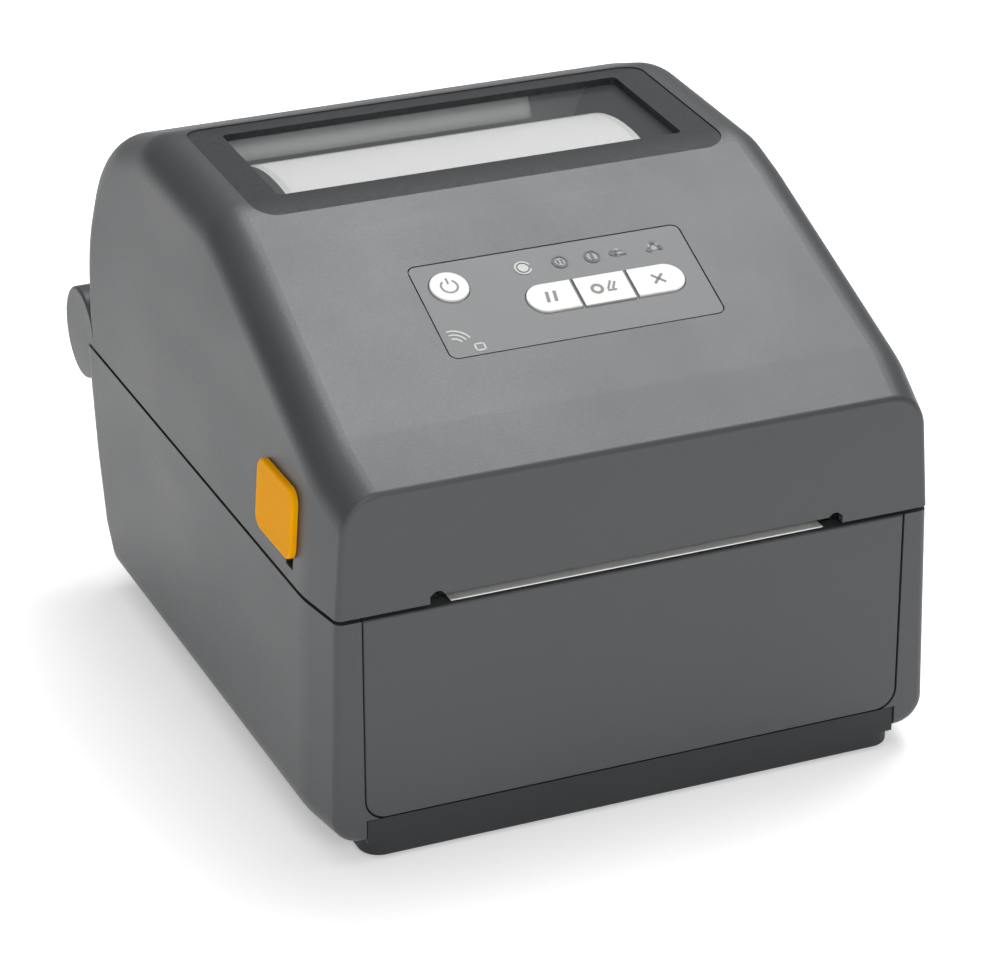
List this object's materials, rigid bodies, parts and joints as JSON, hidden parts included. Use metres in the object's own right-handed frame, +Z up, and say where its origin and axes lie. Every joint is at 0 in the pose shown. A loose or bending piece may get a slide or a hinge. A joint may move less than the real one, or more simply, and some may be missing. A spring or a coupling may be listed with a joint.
{
  "type": "desktop label printer",
  "caption": "Compact desktop thermal label printer with a hinged media cover, top window, sloping key panel, front paper slot and side release latches.",
  "frame": {"origin": "centre of the bounding box's footprint, on the table under the feet", "axes": "+Z up, paper leaves towards -Y, +X to the right seen from the front"},
  "size_m": [0.18, 0.221, 0.151],
  "materials": {
    "case_plastic": "fine matte grain",
    "bezel_plastic": "fine matte grain",
    "plinth_plastic": "matte",
    "inner_plastic": "matte",
    "surround_plastic": "coarse matte grain",
    "clear_window": "clear",
    "liner_plastic": "satin",
    "overlay_film": "satin film",
    "key_white": "satin",
    "latch_orange": "satin",
    "lens_clear": "gloss",
    "foot_rubber": "matte",
    "platen_rubber": "ground",
    "label_paper": "smooth",
    "core_board": "wound",
    "plate_steel": "galvanised",
    "shaft_steel": "ground",
    "spring_steel": "drawn",
    "screw_steel": "zinc",
    "motor_case": "satin black",
    "gear_plastic": "acetal",
    "board_green": "solder mask",
    "port_shell": "plated",
    "port_plastic": "matte",
    "head_aluminium": "extruded",
    "head_ceramic": "glazed",
    "ribbon_film": "flat cable",
    "bush_plastic": "filled"
  },
  "bodies": {
    "base": {"base_shell": "case_plastic", "front_bezel": "bezel_plastic", "bottom_plinth": "plinth_plastic", "rubber_feet": "foot_rubber", "base_screws": "screw_steel", "hinge_pins": "shaft_steel", "media_tub": "inner_plastic", "main_board": "board_green", "port_board": "board_green", "board_ribbon": "ribbon_film", "rear_port_panel": "inner_plastic", "dc_inlet": "port_plastic", "usb_device_port": "port_shell", "usb_host_port": "port_shell", "network_port": "port_shell", "left_chassis_plate": "plate_steel", "right_chassis_plate": "plate_steel", "stepper_motor": "motor_case", "gear_spindle": "shaft_steel", "platen_bearings": "bush_plastic", "tear_bar": "plate_steel", "sensor_rail": "shaft_steel", "latch_strikes": "shaft_steel", "label_web": "label_paper", "guide_pinion_post": "shaft_steel"},
    "cover": {"cover_shell": "case_plastic", "window_surround": "surround_plastic", "window_pane": "clear_window", "cover_liner": "liner_plastic", "control_overlay": "overlay_film", "status_lenses": "lens_clear", "control_board": "board_green", "button_switches": "port_plastic", "board_screws": "screw_steel", "latch_springs": "spring_steel", "head_mount": "plate_steel", "head_springs": "spring_steel"},
    "head": {"head_bracket": "plate_steel", "head_guide_pins": "shaft_steel", "heat_sink": "head_aluminium", "print_head": "head_ceramic"},
    "left_latch": {"left_latch_button": "latch_orange", "left_latch_hook": "inner_plastic"},
    "right_latch": {"right_latch_button": "latch_orange", "right_latch_hook": "inner_plastic"},
    "power_key": {"power_button": "key_white"},
    "pause_key": {"pause_button": "key_white"},
    "feed_key": {"feed_button": "key_white"},
    "cancel_key": {"cancel_button": "key_white"},
    "platen": {"platen_roller": "platen_rubber", "platen_shaft": "shaft_steel", "platen_gear": "gear_plastic"},
    "idler": {"idler_gear": "gear_plastic"},
    "motor_rotor": {"motor_pinion": "gear_plastic"},
    "roll": {"label_roll": "label_paper", "roll_core": "core_board"},
    "left_guide": {"left_media_guide": "inner_plastic"},
    "right_guide": {"right_media_guide": "inner_plastic"},
    "guide_wheel": {"guide_pinion": "gear_plastic"},
    "sensor_carriage": {"gap_sensor": "inner_plastic"}
  },
  "joints": [
    {"name": "cover_hinge", "type": "hinge", "parent": "base", "child": "cover", "pos_m": [0, 0.0965, 0.0723], "axis": [-1, 0, 0], "range_deg": [0, 90]},
    {"name": "left_latch_pull", "type": "slide", "parent": "cover", "child": "left_latch", "axis": [0, -1, 0], "range_m": [0, 0.004], "stiffness_N_per_m": 500, "springref_m": -0.002},
    {"name": "right_latch_pull", "type": "slide", "parent": "cover", "child": "right_latch", "axis": [0, -1, 0], "range_m": [0, 0.004], "stiffness_N_per_m": 500, "springref_m": -0.002},
    {"name": "head_float", "type": "slide", "parent": "cover", "child": "head", "axis": [0, 0, 1], "range_m": [0, 0.0015], "stiffness_N_per_m": 2500, "springref_m": -0.004, "deforming": ["head_springs"]},
    {"name": "power_press", "type": "slide", "parent": "cover", "child": "power_key", "axis": [0, 0.3953, -0.9186], "range_m": [0, 0.0007], "stiffness_N_per_m": 900, "springref_m": -0.0006},
    {"name": "pause_press", "type": "slide", "parent": "cover", "child": "pause_key", "axis": [0, 0.3953, -0.9186], "range_m": [0, 0.0007], "stiffness_N_per_m": 900, "springref_m": -0.0006},
    {"name": "feed_press", "type": "slide", "parent": "cover", "child": "feed_key", "axis": [0, 0.3953, -0.9186], "range_m": [0, 0.0007], "stiffness_N_per_m": 900, "springref_m": -0.0006},
    {"name": "cancel_press", "type": "slide", "parent": "cover", "child": "cancel_key", "axis": [0, 0.3953, -0.9186], "range_m": [0, 0.0007], "stiffness_N_per_m": 900, "springref_m": -0.0006},
    {"name": "platen_spin", "type": "hinge", "parent": "base", "child": "platen", "pos_m": [0, -0.092, 0.066], "axis": [1, 0, 0], "continuous": true},
    {"name": "idler_spin", "type": "hinge", "parent": "base", "child": "idler", "pos_m": [0, -0.07427, 0.05231], "axis": [1, 0, 0], "continuous": true},
    {"name": "motor_spin", "type": "hinge", "parent": "base", "child": "motor_rotor", "pos_m": [0, -0.07, 0.034], "axis": [1, 0, 0], "continuous": true},
    {"name": "roll_spin", "type": "hinge", "parent": "base", "child": "roll", "pos_m": [0, 0.017, 0.081], "axis": [1, 0, 0], "continuous": true},
    {"name": "right_guide_slide", "type": "slide", "parent": "base", "child": "right_guide", "axis": [1, 0, 0], "range_m": [0, 0.012]},
    {"name": "left_guide_slide", "type": "slide", "parent": "base", "child": "left_guide", "axis": [-1, 0, 0], "range_m": [0, 0.012]},
    {"name": "guide_pinion_spin", "type": "hinge", "parent": "base", "child": "guide_wheel", "pos_m": [0, 0.017, 0.0107], "axis": [0, 0, 1], "range_deg": [-150, 5]},
    {"name": "sensor_slide", "type": "slide", "parent": "base", "child": "sensor_carriage", "axis": [1, 0, 0], "range_m": [-0.043, 0.043]}
  ],
  "couplings": [
    {"joint": "idler_spin", "follows": "platen_spin", "ratio": -0.75},
    {"joint": "motor_spin", "follows": "platen_spin", "ratio": 1.6},
    {"joint": "left_guide_slide", "follows": "right_guide_slide", "ratio": 1},
    {"joint": "guide_pinion_spin", "follows": "right_guide_slide", "rad_per_m": -208.33}
  ]
}
